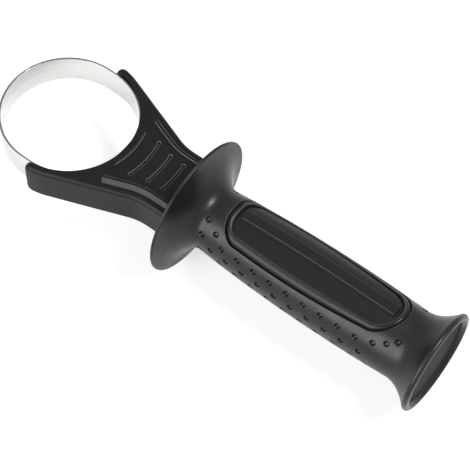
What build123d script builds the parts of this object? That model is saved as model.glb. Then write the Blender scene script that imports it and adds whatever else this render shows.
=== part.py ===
from build123d import *
from math import asin, copysign, cos, degrees, radians, sin, sqrt, tan
import os

# Side handle for a power tool. Sizes are in millimetres.
# The origin is the centre of the clamped tool collar. +X runs along the grip, away from the
# collar, and +Z along the collar's axis. The two faces of the yoke look along +Z and -Z.

# Tool collar and clamping band
collar_radius = 24.5          # the band's inside when it holds the collar
band_thickness = 0.9
band_width = 12.7
band_slack = 3.2              # how much longer the loop is than a circle
lap_gap = 0.05                # between the two lapped ends
tongue_seat = 30.4            # x of the flat that the bolt's head pulls on
joggle_height = 12.0          # half the width at which the band leaves its round run
joggle_flat = 8.3             # half the width of the flat at the bolt
joggle_lead = 1.2
joggle_radius = 1.5
hole_clearance = 0.3
cut_spare = 1.0               # how far a cutter stands out of what it cuts

# Travel of the band along the grip's axis, from the slack state that is modelled
draw_in = 2.25
running_gap = 0.25

# Clamp bolt, M8, and its nut
bolt_radius = 3.95
bolt_length = 58.0
head_height = 3.7
head_span = 14.0
head_side_gap = 0.2
head_chamfer = 0.6
bolt_point = 1.0
nut_bore_radius = 4.0
nut_across_flats = 13.0
nut_height = 6.5
nut_depth = 2.3               # from the grip's front face to the nut

# Yoke
cradle_offset = 1.9           # the cradle's centre, ahead of the collar's
cradle_radius = 26.0
horn_wall = 2.8
horn_tip_x = 3.0
horn_tip_round = 3.0
neck_corner_x = 45.0          # where the straight flanks meet the neck
neck_half_width = 14.6
neck_blend = 22.0
yoke_half_thickness = 8.0
rim_round = 1.8
rim_width = 3.6               # outer step, outside the raised pad
pad_height = 2.0              # how far the pad stands above the rim
pad_cradle_gap = 3.1          # from the cradle's edge to the pad
pad_start_x = 30.2            # the pad's square ends on the two horns
pad_round = 0.4
frame_width = 1.5             # border left round the sunk panel
frame_cradle_width = 1.0
panel_depth = 0.6
panel_round = 0.6
slot_first = 10.2             # from the cradle's edge to the first slot
slot_pitch = 6.3
slot_half_lengths = (8.6, 6.6, 6.2)
slot_width = 0.7
slot_end_radius = 0.6
slot_depth = 0.8
channel_side_gap = 0.15
pocket_side_gap = 0.5         # beside the tongues, at the pocket's floor
pocket_mouth_spare = 1.0      # how much wider the pocket opens than the band's joggle
pocket_mouth_lead = 4.0       # from the pocket's mouth to the tongue's seat
neck_end_x = 60.2
bolt_bore_clearance = 0.35

# Grip
face_gap = 0.3                # between the yoke's end and the grip
flange_radius = 27.4
flange_edge = 1.3
flange_curve_x = 1.5          # a point of the flange's hollow back, behind its edge
flange_curve_swell = 0.3
flange_back_lean = 0.1        # slope at which the hollow back leaves the flange's edge
waist_x = 71.3
waist_radius = 12.5
belly_x = 118.2
belly_radius = 14.5
ankle_x = 153.4
ankle_radius = 13.7
foot_radius = 19.9
foot_end_x = 166.6
foot_lip = 1.3
foot_flare_slope = 1.15       # slope at which the foot's back meets its lip
foot_lip_angle = 135.0        # where on the lip's round that is, in degrees
dish_depth = 2.0
dish_slope = 1.2
core_radius = 9.8
core_end_x = 157.4
core_end_round = 3.0
bore_spare = 6.0              # free bore behind the bolt's point when it is drawn in

# Sunk side panels of the grip
panel_turn = -8.0             # turn of the grip about its axis, in degrees
panel_start_x = 76.7
panel_corner = 8.5
panel_lead = 0.5              # straight length between the corner and the long side
panel_start_half = 11.3
panel_belly_half = 12.0
panel_end_radius = 10.7
panel_end_x = 150.7
groove_width = 0.6
groove_depth = 0.9
bead_width = 1.7
inner_groove_width = 0.5
inner_groove_depth = 0.45
floor_drop = 1.5              # depth of the floor beside the rib
floor_flatness = 4.0          # the floor's centre lies this far past the grip's axis
spine_half_width = 2.3
spine_drop = 0.15
spine_margin = 4.2

# Dimples in the grip
dimple_radius = 1.2
dimple_floor_radius = 0.7
dimple_depth = 0.7
dimple_over = 0.7             # how far the cutter of a dimple stands above the surface
dimple_pitch = 7.25
side_row_start_x = 76.7
side_row_count = 10
flank_row_start_x = 81.0
flank_row_count = 9
flank_row_angle = 72.5        # from the middle of the panel, in degrees
flank_row_fall = 4.5          # how far the row closes in towards the foot
end_dimples = ((71.6, 42.0), (76.7, 56.0), (71.6, 71.0), (145.5, 61.0), (149.9, 51.0), (153.1, 40.5))

# Worked out from the sizes above
band_outer_radius = collar_radius + band_thickness
band_middle_radius = collar_radius + band_thickness / 2
channel_radius = band_outer_radius + running_gap
channel_centre_x = band_slack + draw_in + running_gap
channel_half_width = band_width / 2 + channel_side_gap
horn_outer_radius = cradle_radius + horn_wall
pocket_floor_x = tongue_seat + 2 * band_thickness + lap_gap + draw_in + running_gap
pad_half_thickness = yoke_half_thickness + pad_height
panel_half_thickness = pad_half_thickness - panel_depth
grip_front_x = neck_end_x + face_gap
nut_front_x = grip_front_x + nut_depth
bolt_bore_radius = bolt_radius + bolt_bore_clearance
core_bore_end_x = tongue_seat + bolt_length + draw_in + bore_spare
cradle_centre = (cradle_offset, 0)
corner_reach = sqrt((neck_corner_x - cradle_offset) ** 2 + neck_half_width ** 2)
flank_angle = degrees(asin(horn_outer_radius / corner_reach) - asin(neck_half_width / corner_reach))
dimple_flare = (dimple_radius - dimple_floor_radius) / dimple_depth

os.makedirs("parts", exist_ok=True)


def barrel_bend(end_x, end_radius):
    """Radius of the barrel's arc from the belly to one end, negative if it is hollow."""
    drop = belly_radius - end_radius
    return ((end_x - belly_x) ** 2 + drop ** 2) / (2 * drop)


def barrel_radius(x):
    """Radius of the grip's surface between its waist and its ankle."""
    end = (waist_x, waist_radius) if x < belly_x else (ankle_x, ankle_radius)
    bend = barrel_bend(*end)
    return belly_radius - bend + copysign(sqrt(bend ** 2 - (x - belly_x) ** 2), bend)


def barrel_line(inset=0.0):
    """Two tangent arcs from the waist over the belly to the ankle, inset from the surface."""
    belly = (belly_x, belly_radius - inset)
    with BuildLine() as barrel:
        TangentArc(belly, (waist_x, waist_radius - inset), tangent=(-1, 0))
        TangentArc(belly, (ankle_x, ankle_radius - inset), tangent=(1, 0))
    return barrel.line


def grip_outline(inset=0.0):
    """Face of the grip's half section from its waist to its ankle, inset from the surface."""
    with BuildSketch() as section:
        with BuildLine():
            add(barrel_line(inset))
            Polyline(
                (ankle_x, ankle_radius - inset), (ankle_x, 0), (waist_x, 0), (waist_x, waist_radius - inset)
            )
        make_face()
    return section.sketch


# Yoke: half of it is built and mirrored about the mid plane
def flank_points(inset):
    """Tangent point on the horn's circle and the end of the straight flank."""
    radius = horn_outer_radius - inset
    lean = radians(90 - flank_angle)
    start = (cradle_offset + radius * cos(lean), radius * sin(lean))
    run = (start[1] - (neck_half_width - inset)) / tan(radians(flank_angle))
    return start, (start[0] + run, neck_half_width - inset)


def yoke_outline(inset, end_x):
    """Plan of the yoke without its cradle, symmetric about the grip's axis."""
    radius = horn_outer_radius - inset
    start, corner = flank_points(inset)
    tip_angle = degrees(asin(sqrt(radius ** 2 - (horn_tip_x - cradle_offset) ** 2) / radius))
    with BuildSketch() as plan:
        with BuildLine():
            horn = CenterArc(cradle_centre, radius, tip_angle, 90 - flank_angle - tip_angle)
            flank = Line(horn @ 1, corner)
            Polyline(flank @ 1, (end_x, corner[1]), (end_x, 0), (horn_tip_x, 0), horn @ 0)
        make_face()
        fillet(plan.vertices().sort_by_distance(corner)[0], neck_blend + inset)
        mirror(about=Plane.XZ)
    return plan.sketch


def pad_outline(inset, end_x, cradle_gap):
    """Plan of the raised pad, or of the panel sunk into it, with square ends on the horns."""
    horn_span = 2 * horn_outer_radius
    with BuildSketch() as plan:
        add(yoke_outline(inset, end_x))
        with Locations(cradle_centre):
            Circle(cradle_radius + cradle_gap, mode=Mode.SUBTRACT)
        with Locations((pad_start_x, 0)):
            Rectangle(horn_span, horn_span, align=(Align.MAX, Align.CENTER), mode=Mode.SUBTRACT)
    return plan.sketch


with BuildPart() as yoke:
    add(yoke_outline(0, neck_end_x))
    extrude(amount=yoke_half_thickness)
    fillet(yoke.faces().sort_by(Axis.X)[0].edges().sort_by(Axis.Z)[-1], horn_tip_round)
    rim_edges = yoke.edges().group_by(Axis.Z)[-1]
    fillet([edge for edge in rim_edges if abs(edge.center().Y) > rim_round], rim_round)
    with BuildSketch():
        add(pad_outline(rim_width, neck_end_x, pad_cradle_gap))
    extrude(amount=pad_half_thickness)
    pad_edges = yoke.faces().sort_by(Axis.Z)[-1].edges()
    fillet([edge for edge in pad_edges if edge.center().X < neck_end_x - pad_round], pad_round)
    with BuildSketch(Plane.XY.offset(pad_half_thickness)) as panel:
        add(pad_outline(
            rim_width + frame_width, neck_end_x + frame_width, pad_cradle_gap + frame_cradle_width
        ))
        fillet(panel.vertices().group_by(Axis.X)[0], panel_round)
    extrude(amount=-panel_depth, mode=Mode.SUBTRACT)
    with BuildSketch(Plane.XY.offset(panel_half_thickness)):
        for number, half_length in enumerate(slot_half_lengths):
            slot_radius = cradle_radius + slot_first + number * slot_pitch
            half_angle = degrees(half_length / slot_radius)
            SlotArc(CenterArc(cradle_centre, slot_radius, -half_angle, 2 * half_angle), slot_width)
            with Locations(cradle_centre):
                with PolarLocations(slot_radius, 2, -half_angle, 2 * half_angle, endpoint=True):
                    Circle(slot_end_radius)
    extrude(amount=-slot_depth, mode=Mode.SUBTRACT)
    with BuildSketch():
        with Locations(cradle_centre):
            Circle(cradle_radius)
    extrude(amount=pad_half_thickness, mode=Mode.SUBTRACT)
    with BuildSketch():
        with BuildLine():
            floor = CenterArc((channel_centre_x, 0), channel_radius, -90, 180)
            Polyline(floor @ 1, (0, channel_radius), (0, -channel_radius), floor @ 0)
        make_face()
        pocket_side = joggle_flat + band_thickness / 2 + pocket_side_gap
        pocket_mouth = joggle_height + pocket_mouth_spare
        mouth_x = tongue_seat - pocket_mouth_lead
        Polygon(
            (mouth_x, -pocket_mouth), (pocket_floor_x, -pocket_side),
            (pocket_floor_x, pocket_side), (mouth_x, pocket_mouth),
            align=None,
        )
    extrude(amount=channel_half_width, mode=Mode.SUBTRACT)
    mirror(about=Plane.XY)
    with BuildSketch(Plane.YZ.offset(pocket_floor_x)):
        Circle(bolt_bore_radius)
    extrude(amount=neck_end_x - pocket_floor_x, mode=Mode.SUBTRACT)
yoke.part.label = "yoke"
export_step(yoke.part, "parts/yoke.step")


# Clamping band: one strip, lapped flat where the bolt passes
def joggle(seat_x, tip_y, side):
    """Path from the band's round run down to its flat tongue, on one side of the axis."""
    start = (band_slack + sqrt(band_middle_radius ** 2 - joggle_height ** 2), joggle_height * side)
    along = (start[1] * side / band_middle_radius, -(start[0] - band_slack) * side / band_middle_radius)
    bend = (start[0] + joggle_lead * along[0], start[1] + joggle_lead * along[1])
    return start, bend, (seat_x, joggle_flat * side), (seat_x, -tip_y * side)


inner_seat = tongue_seat + band_thickness / 2
outer_seat = inner_seat + band_thickness + lap_gap
tongue_tip = joggle_flat - joggle_radius

with BuildPart() as clamping_band:
    with BuildLine() as loop:
        upper = FilletPolyline(*joggle(inner_seat, tongue_tip, 1), radius=joggle_radius)
        lower = FilletPolyline(*joggle(outer_seat, tongue_tip, -1), radius=joggle_radius)
        fall = degrees(asin(joggle_height / band_middle_radius))
        CenterArc((band_slack, 0), band_middle_radius, fall, 90 - fall)
        Line((band_slack, band_middle_radius), (0, band_middle_radius))
        CenterArc((0, 0), band_middle_radius, 90, 180)
        Line((0, -band_middle_radius), (band_slack, -band_middle_radius))
        CenterArc((band_slack, 0), band_middle_radius, -90, 90 - fall)
    with BuildSketch(Plane(origin=upper @ 1, x_dir=(0, 0, 1), z_dir=upper % 1)):
        Rectangle(band_width, band_thickness)
    sweep(path=loop.wires()[0])
    with BuildSketch(Plane.YZ.offset(tongue_seat - cut_spare)):
        Circle(bolt_radius + hole_clearance)
    extrude(amount=2 * band_thickness + lap_gap + 2 * cut_spare, mode=Mode.SUBTRACT)
clamping_band.part.label = "clamping_band"
export_step(clamping_band.part, "parts/clamping_band.step")


# Clamp bolt: its flat head lies across the pocket, so it can't turn
with BuildPart() as clamp_bolt:
    with BuildSketch(Plane.YZ.offset(tongue_seat - head_height)):
        Rectangle(head_span, 2 * channel_half_width - 2 * head_side_gap)
    extrude(amount=head_height)
    chamfer(clamp_bolt.faces().sort_by(Axis.X)[0].edges(), head_chamfer)
    with BuildSketch(Plane.YZ.offset(tongue_seat)):
        Circle(bolt_radius)
    extrude(amount=bolt_length)
    chamfer(clamp_bolt.faces().sort_by(Axis.X)[-1].edges(), bolt_point)
clamp_bolt.part.label = "clamp_bolt"
export_step(clamp_bolt.part, "parts/clamp_bolt.step")


# Nut, moulded into the front of the core
with BuildPart() as nut_insert:
    with BuildSketch(Plane.YZ.offset(nut_front_x)):
        RegularPolygon(nut_across_flats / 2, 6, major_radius=False)
        Circle(nut_bore_radius, mode=Mode.SUBTRACT)
    extrude(amount=nut_height)
nut_insert.part.label = "nut_insert"
export_step(nut_insert.part, "parts/nut_insert.step")


# Grip panels: their outlines lie in the plane square to the panel's middle line
def panel_outline(growth):
    """Outline of a sunk side panel, grown outwards by a given width."""
    end_centre_x = panel_end_x - panel_end_radius
    with BuildSketch() as outline:
        with BuildLine():
            end = CenterArc((end_centre_x, 0), panel_end_radius, 0, 90)
            side_start = (panel_start_x + panel_corner + panel_lead, panel_start_half)
            side = ThreePointArc(end @ 1, (belly_x, panel_belly_half), side_start)
            Polyline(side @ 1, (panel_start_x, panel_start_half), (panel_start_x, 0), end @ 0)
        make_face()
        fillet(outline.vertices().sort_by_distance((panel_start_x, panel_start_half))[0], panel_corner)
        mirror(about=Plane.XZ)
        if growth:
            offset(amount=growth)
    return outline.sketch


def spine_outline():
    """Outline of the straight rib along the middle of a panel."""
    start = panel_start_x + spine_margin
    end = panel_end_x - spine_margin
    with BuildSketch() as outline:
        with Locations(((start + end) / 2, 0)):
            Rectangle(end - start, 2 * spine_half_width)
    return outline.sketch


def panel_column(sketch, turn):
    """Column that stands on a panel sketch, from the grip's axis outwards."""
    with BuildPart() as column:
        with BuildSketch(Plane.XY.rotated((turn, 0, 0))):
            add(sketch)
        extrude(amount=foot_radius)
    return column.part


def grip_solid(inset, drop=0.0, turn=0.0):
    """Grip turned about its axis, or about one that lies lower, inset from its surface."""
    with BuildPart() as solid:
        add(grip_outline(inset - drop))
        revolve(axis=Axis.X)
    return Rot(X=turn) * Pos(Z=-drop) * solid.part


panel_turns = (panel_turn, panel_turn + 180)

with BuildPart() as grip_core:
    with BuildSketch(Plane.YZ.offset(grip_front_x)):
        Circle(core_radius)
    extrude(amount=core_end_x - grip_front_x)
    fillet(grip_core.faces().sort_by(Axis.X)[-1].edges(), core_end_round)
    for turn in panel_turns:
        add(grip_solid(groove_depth) & panel_column(panel_outline(0), turn))
        add(grip_solid(0) & panel_column(panel_outline(-groove_width), turn))
        inner_edge = -groove_width - bead_width
        floor_edge = inner_edge - inner_groove_width
        well = panel_column(panel_outline(floor_edge), turn)
        trench = panel_column(panel_outline(inner_edge), turn) - well
        add(trench - grip_solid(inner_groove_depth), mode=Mode.SUBTRACT)
        add(well - grip_solid(floor_drop, floor_flatness, turn), mode=Mode.SUBTRACT)
        add(grip_solid(spine_drop) & panel_column(spine_outline(), turn))
    with BuildSketch(Plane.YZ.offset(grip_front_x)):
        Circle(bolt_bore_radius)
    extrude(amount=core_bore_end_x - grip_front_x, mode=Mode.SUBTRACT)
    with BuildSketch(Plane.YZ.offset(nut_front_x)):
        RegularPolygon(nut_across_flats / 2, 6, major_radius=False)
    extrude(amount=nut_height, mode=Mode.SUBTRACT)
grip_core.part.label = "grip_core"
export_step(grip_core.part, "parts/grip_core.step")


def dimple_places():
    """Places of all dimples: distance along the grip and angle about its axis."""
    places = []
    for turn in panel_turns:
        for number in range(side_row_count):
            places.append((side_row_start_x + number * dimple_pitch, turn + 90))
        for side in (-1, 1):
            for number in range(flank_row_count):
                angle = flank_row_angle - flank_row_fall * (number / (flank_row_count - 1)) ** 2
                places.append((flank_row_start_x + number * dimple_pitch, turn + side * angle))
            for x, angle in end_dimples:
                places.append((x, turn + side * angle))
    return places


def dimple_location(x, angle):
    """Centre of a dimple's floor, with Z pointing out of the grip."""
    reach = barrel_radius(x) - dimple_depth
    return Location((x, -reach * sin(radians(angle)), reach * cos(radians(angle))), (angle, 0, 0))


# Soft sleeve with its flange and foot
with BuildPart() as grip_sleeve:
    with BuildSketch():
        with BuildLine():
            waist_slope = tan(asin((belly_x - waist_x) / barrel_bend(waist_x, waist_radius)))
            flange_back = Spline(
                (grip_front_x + flange_edge, flange_radius - flange_edge / 2),
                (grip_front_x + flange_edge + flange_curve_x,
                 (flange_radius + waist_radius) / 2 + flange_curve_swell),
                (waist_x, waist_radius),
                tangents=((flange_back_lean, -1), (1, waist_slope)),
            )
            add(barrel_line())
            lip_x = foot_end_x - foot_lip
            lip_y = foot_radius - foot_lip
            lip_turn = radians(foot_lip_angle)
            lip_start = (lip_x + foot_lip * cos(lip_turn), lip_y + foot_lip * sin(lip_turn))
            ankle_slope = tan(asin((belly_x - ankle_x) / barrel_bend(ankle_x, ankle_radius)))
            flare_ends = ((1, ankle_slope), (1, foot_flare_slope))
            flare = Spline((ankle_x, ankle_radius), lip_start, tangents=flare_ends)
            lip = CenterArc((lip_x, lip_y), foot_lip, foot_lip_angle, -180)
            Polyline(
                lip @ 1, (foot_end_x - dish_depth, (lip @ 1).Y - dish_slope), (foot_end_x - dish_depth, 0),
                (core_end_x, 0), (core_end_x, core_radius - core_end_round),
            )
            CenterArc((core_end_x - core_end_round, core_radius - core_end_round), core_end_round, 0, 90)
            Polyline(
                (core_end_x - core_end_round, core_radius), (grip_front_x, core_radius),
                (grip_front_x, flange_radius - flange_edge / 2),
            )
            ThreePointArc(
                (grip_front_x, flange_radius - flange_edge / 2),
                (grip_front_x + flange_edge / 2, flange_radius),
                (grip_front_x + flange_edge, flange_radius - flange_edge / 2),
            )
        make_face()
    revolve(axis=Axis.X)
    with Locations([dimple_location(x, angle) for x, angle in dimple_places()]):
        Cone(
            dimple_floor_radius, dimple_radius + dimple_over * dimple_flare, dimple_depth + dimple_over,
            align=(Align.CENTER, Align.CENTER, Align.MIN), mode=Mode.SUBTRACT,
        )
    for turn in panel_turns:
        add(panel_column(panel_outline(0), turn), mode=Mode.SUBTRACT)
grip_sleeve.part.label = "grip_sleeve"
export_step(grip_sleeve.part, "parts/grip_sleeve.step")
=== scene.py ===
"""Looks of a power tool side handle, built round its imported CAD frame.

Lengths are in metres in the row's frame: the origin is the centre of the clamped
collar, +X runs along the grip and +Z along the collar's axis.
"""

from __future__ import annotations

import logging
import math
from dataclasses import dataclass
from enum import Enum

import bmesh
import bpy
import numpy as np
from mathutils import Matrix, Vector


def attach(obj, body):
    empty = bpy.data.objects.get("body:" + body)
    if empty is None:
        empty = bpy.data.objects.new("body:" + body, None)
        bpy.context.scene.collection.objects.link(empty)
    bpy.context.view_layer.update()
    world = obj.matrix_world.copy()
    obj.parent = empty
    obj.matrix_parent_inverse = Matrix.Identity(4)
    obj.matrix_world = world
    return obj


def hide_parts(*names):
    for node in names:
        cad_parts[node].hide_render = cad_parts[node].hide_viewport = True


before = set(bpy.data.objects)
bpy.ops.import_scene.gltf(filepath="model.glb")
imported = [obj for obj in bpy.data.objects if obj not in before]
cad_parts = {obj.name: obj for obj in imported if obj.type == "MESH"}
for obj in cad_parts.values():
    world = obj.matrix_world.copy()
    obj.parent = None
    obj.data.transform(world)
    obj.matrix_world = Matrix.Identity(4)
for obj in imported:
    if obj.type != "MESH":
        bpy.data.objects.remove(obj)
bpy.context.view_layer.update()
LOG = logging.getLogger("side_handle")
MM = 0.001
TOUCH = 2e-5
WELD = 1e-6
HIDDEN_GAP_MM = 0.1


class Grain(Enum):
    """Kinds of fine surface relief."""

    SPARKED = "fine pits of a spark-eroded mould"
    SATIN = "soft satin of a moulded elastomer"
    FLOW = "faint flow lines along a moulding"
    BRUSHED = "hair lines along a rolled strip"
    PLATED = "slight mottle of zinc plating"


@dataclass(frozen=True)
class Finish:
    """Finish of one material slot.

    Args:
        slot: Name of the material slot.
        rough_low: Lowest roughness on the surface.
        rough_high: Highest roughness on the surface.
        grain_mm: Size of the grain's pits or lines.
        relief_mm: Their depth.
        gloss: Specular level of a plastic.
        coarse_end: Place and radius of an end face with a coarser surface, in millimetres.
        dark_edges_from: Height over the middle plane where a strip's darker edges begin.
    """

    slot: str
    colour: str
    rough_low: float
    rough_high: float
    metal: float
    grain: Grain
    grain_mm: float
    relief_mm: float
    gloss: float = 0.5
    coarse_end: tuple[float, float] | None = None
    dark_edges_from: float | None = None


YOKE_FINISH = Finish("yoke_plastic", "#121213", 0.33, 0.42, 0.0, Grain.SPARKED, 0.30, 0.006, 0.12)
CORE_FINISH = Finish("core_plastic", "#131314", 0.26, 0.38, 0.0, Grain.FLOW, 0.50, 0.014, 0.18)
SLEEVE_FINISH = Finish("sleeve_rubber", "#151516", 0.26, 0.40, 0.0, Grain.SATIN, 0.70, 0.045, 0.22,
                       (164.2, 17.3))
BAND_FINISH = Finish("band_steel", "#cbcbc9", 0.20, 0.34, 1.0, Grain.BRUSHED, 0.10, 0.002,
                     dark_edges_from=6.12)
BOLT_FINISH = Finish("bolt_steel", "#b9b9b4", 0.28, 0.46, 1.0, Grain.PLATED, 0.50, 0.003)
# Light colour of the painted highlights on rounded edges, flanks and lips.
PAINTED_HIGHLIGHT_COLOUR = "#8a8a8b"
# Darker colour of a strip's two rounded long edges.
EDGE_DARK_COLOUR = "#7c7c7b"
COARSE_ROUGHNESS = 0.80
PATCH_MM = 9.0
MOTTLE_MM = 3.0
MOTTLE_RANGE = (0.90, 1.10)
STRETCH = {Grain.BRUSHED: (0.02, 0.02, 1.0), Grain.FLOW: (0.05, 1.0, 1.0)}


def linear(colour: str) -> tuple[float, float, float, float]:
    """Turns an sRGB hex colour into linear values.

    Args:
        colour: Hex string such as "#202022".

    Returns:
        Linear red, green, blue and an alpha of 1.
    """
    values = [int(colour[i : i + 2], 16) / 255 for i in (1, 3, 5)]
    curve = [v / 12.92 if v <= 0.04045 else ((v + 0.055) / 1.055) ** 2.4 for v in values]
    return (curve[0], curve[1], curve[2], 1.0)


def add_node(tree: bpy.types.NodeTree, kind: str, inputs: dict | None = None, **settings) -> bpy.types.Node:
    """Adds one node to a tree.

    Args:
        tree: Tree that gets the node.
        kind: Node type name.
        inputs: Values or output sockets for the node's inputs, by name or index.
        **settings: Properties of the node.

    Returns:
        The new node.
    """
    node = tree.nodes.new(kind)
    for name, value in settings.items():
        setattr(node, name, value)
    for name, value in (inputs or {}).items():
        if isinstance(value, bpy.types.NodeSocket):
            tree.links.new(value, node.inputs[name])
        else:
            node.inputs[name].default_value = value
    return node


def coarse_end_mask(tree: bpy.types.NodeTree, place: bpy.types.NodeSocket,
                    end: tuple[float, float]) -> bpy.types.NodeSocket:
    """Roughness of an end face round the X axis, and zero elsewhere.

    Args:
        tree: Tree that gets the nodes.
        place: Object coordinates.
        end: Place along X and radius of the end face in millimetres.

    Returns:
        Socket with the roughness.
    """
    across = add_node(tree, "ShaderNodeVectorMath", {0: place, 1: (0.0, 1.0, 1.0)}, operation="MULTIPLY")
    reach = add_node(tree, "ShaderNodeVectorMath", {0: across.outputs[0]}, operation="LENGTH")
    inside = add_node(tree, "ShaderNodeMapRange", {
        "Value": reach.outputs["Value"], "From Min": (end[1] - 0.5) * MM, "From Max": end[1] * MM,
        "To Min": COARSE_ROUGHNESS, "To Max": 0.0})
    along = add_node(tree, "ShaderNodeSeparateXYZ", {0: place})
    beyond = add_node(tree, "ShaderNodeMath", {0: along.outputs[0], 1: end[0] * MM}, operation="GREATER_THAN")
    return add_node(tree, "ShaderNodeMath", {
        0: inside.outputs[0], 1: beyond.outputs[0]}, operation="MULTIPLY").outputs[0]


def edge_shade(tree: bpy.types.NodeTree, colour: bpy.types.NodeSocket, height: float) -> bpy.types.NodeSocket:
    """Darkens a strip's two rounded long edges.

    Args:
        tree: Tree that gets the nodes.
        colour: Colour of the strip.
        height: Height over the middle plane where the edges begin, in millimetres.

    Returns:
        Socket with the colour.
    """
    place = add_node(tree, "ShaderNodeTexCoord").outputs["Object"]
    along = add_node(tree, "ShaderNodeSeparateXYZ", {0: place})
    reach = add_node(tree, "ShaderNodeMath", {0: along.outputs[2]}, operation="ABSOLUTE")
    edge = add_node(tree, "ShaderNodeMapRange", {
        "Value": reach.outputs[0], "From Min": height * MM, "From Max": (height + 0.15) * MM})
    return add_node(tree, "ShaderNodeMix", {
        "Factor": edge.outputs[0], 6: colour, 7: linear(EDGE_DARK_COLOUR)}, data_type="RGBA").outputs[2]


def make_material(finish: Finish) -> bpy.types.Material:
    """Builds a procedural material with roughness that varies, a fine relief and a light colour painted as a
    highlight on the faces that the attribute marks.

    Args:
        finish: What the surface is like.

    Returns:
        The material, named after its slot.
    """
    material = bpy.data.materials.new(f"look_{finish.slot}")
    material.use_nodes = True
    tree = material.node_tree
    shader = tree.nodes["Principled BSDF"]
    shader.inputs["Metallic"].default_value = finish.metal
    shader.inputs["Specular IOR Level"].default_value = finish.gloss
    place = add_node(tree, "ShaderNodeTexCoord").outputs["Object"]
    per_mm = 1 / MM
    grain_scale = per_mm / finish.grain_mm
    end_mask = coarse_end_mask(tree, place, finish.coarse_end) if finish.coarse_end else None
    if finish.grain in STRETCH:
        place = add_node(tree, "ShaderNodeMapping", {
            "Vector": place, "Scale": STRETCH[finish.grain]}).outputs[0]
    patches = add_node(tree, "ShaderNodeTexNoise", {
        "Vector": place, "Scale": per_mm / PATCH_MM, "Detail": 3.0})
    rough = add_node(tree, "ShaderNodeMapRange", {
        "Value": patches.outputs["Fac"], "From Min": 0.3, "From Max": 0.7,
        "To Min": finish.rough_low, "To Max": finish.rough_high,
    })
    roughness = rough.outputs[0]
    if end_mask:
        coarser = {0: roughness, 1: end_mask}
        roughness = add_node(tree, "ShaderNodeMath", coarser, operation="MAXIMUM").outputs[0]
    tree.links.new(roughness, shader.inputs["Roughness"])
    base = linear(finish.colour)
    shade = add_node(tree, "ShaderNodeTexNoise", {
        "Vector": place, "Scale": per_mm / MOTTLE_MM, "Detail": 4.0})
    dark, light = [tuple(factor * v for v in base[:3]) + (1.0,) for factor in MOTTLE_RANGE]
    mottle = {"Factor": shade.outputs["Fac"], 6: dark, 7: light}
    tint = add_node(tree, "ShaderNodeMix", mottle, data_type="RGBA").outputs[2]
    # Faces marked by the attribute get the light colour: a painted highlight.
    painted_highlight = add_node(tree, "ShaderNodeAttribute", attribute_name="painted_highlight").outputs["Fac"]
    highlighted = {"Factor": painted_highlight, 6: tint, 7: linear(PAINTED_HIGHLIGHT_COLOUR)}
    colour = add_node(tree, "ShaderNodeMix", highlighted, data_type="RGBA").outputs[2]
    # The strip gets a darker colour on its two rounded long edges.
    if finish.dark_edges_from:
        colour = edge_shade(tree, colour, finish.dark_edges_from)
    tree.links.new(colour, shader.inputs["Base Color"])
    if finish.grain is Grain.SPARKED:
        relief = add_node(tree, "ShaderNodeTexVoronoi", {"Vector": place, "Scale": grain_scale})
        height = relief.outputs["Distance"]
    else:
        relief = add_node(tree, "ShaderNodeTexNoise", {"Vector": place, "Scale": grain_scale, "Detail": 2.0})
        height = relief.outputs["Fac"]
    depth = {"Height": height, "Strength": 1.0, "Distance": finish.relief_mm * MM}
    bump = add_node(tree, "ShaderNodeBump", depth)
    tree.links.new(bump.outputs["Normal"], shader.inputs["Normal"])
    return material


def add_object(name: str, data: bpy.types.ID) -> bpy.types.Object:
    """Makes an object and puts it into the scene.

    Args:
        name: Name of the object.
        data: Its mesh, lamp or camera.

    Returns:
        The object, at the origin.
    """
    thing = bpy.data.objects.new(name, data)
    bpy.context.collection.objects.link(thing)
    return thing


class Shell:
    """Rings of vertices in metres that grow into one mesh, with the painted highlight of each face."""

    def __init__(self) -> None:
        """Starts without any ring."""
        self.rings: list = []
        self.faces: list = []
        self.painted_highlight: list = []

    def add(self, rings: list, marks: dict | None = None) -> None:
        """Adds a tube of rings.

        Args:
            rings: Rings with the same number of vertices.
            marks: How strongly a highlight is painted on the faces after a ring, by the ring's number.
        """
        start, count = sum(len(ring) for ring in self.rings), len(rings[0])
        self.rings += rings
        for step in range(len(rings) - 1):
            low = start + step * count
            for i, j in zip(range(count), [*range(1, count), 0]):
                self.faces.append((low + i, low + j, low + count + j, low + count + i))
            self.painted_highlight += [(marks or {}).get(step, 0.0)] * count

    def close(self) -> None:
        """Closes a single tube with one face at each end."""
        count = len(self.rings[0])
        last = count * (len(self.rings) - 1)
        self.faces += [tuple(range(count)), tuple(last + i for i in range(count))]
        self.painted_highlight += [0.0, 0.0]

    def mesh(self, name: str) -> bpy.types.Mesh:
        """Makes the mesh, with doubled vertices joined.

        Args:
            name: Name of the mesh.

        Returns:
            The mesh.
        """
        mesh = bpy.data.meshes.new(name)
        mesh.from_pydata([tuple(p) for p in np.concatenate(self.rings)], [], self.faces)
        # Stores the painted highlight of each face, which the material turns into a light colour.
        mesh.attributes.new("painted_highlight", "FLOAT", "FACE").data.foreach_set("value", self.painted_highlight)
        work = bmesh.new()
        work.from_mesh(mesh)
        bmesh.ops.remove_doubles(work, verts=work.verts, dist=WELD)
        bmesh.ops.recalc_face_normals(work, faces=work.faces)
        work.to_mesh(mesh)
        work.free()
        return mesh

    def piece(self, name: str, material: bpy.types.Material, sharp_degrees: float) -> bpy.types.Object:
        """Makes a smooth-shaded piece.

        Args:
            name: Name of the piece.
            material: Material for all faces.
            sharp_degrees: Edges that turn more than this stay sharp.

        Returns:
            The new object.
        """
        mesh = self.mesh(name)
        mesh.materials.append(material)
        smooth(mesh, sharp_degrees)
        return add_object(name, mesh)


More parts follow.
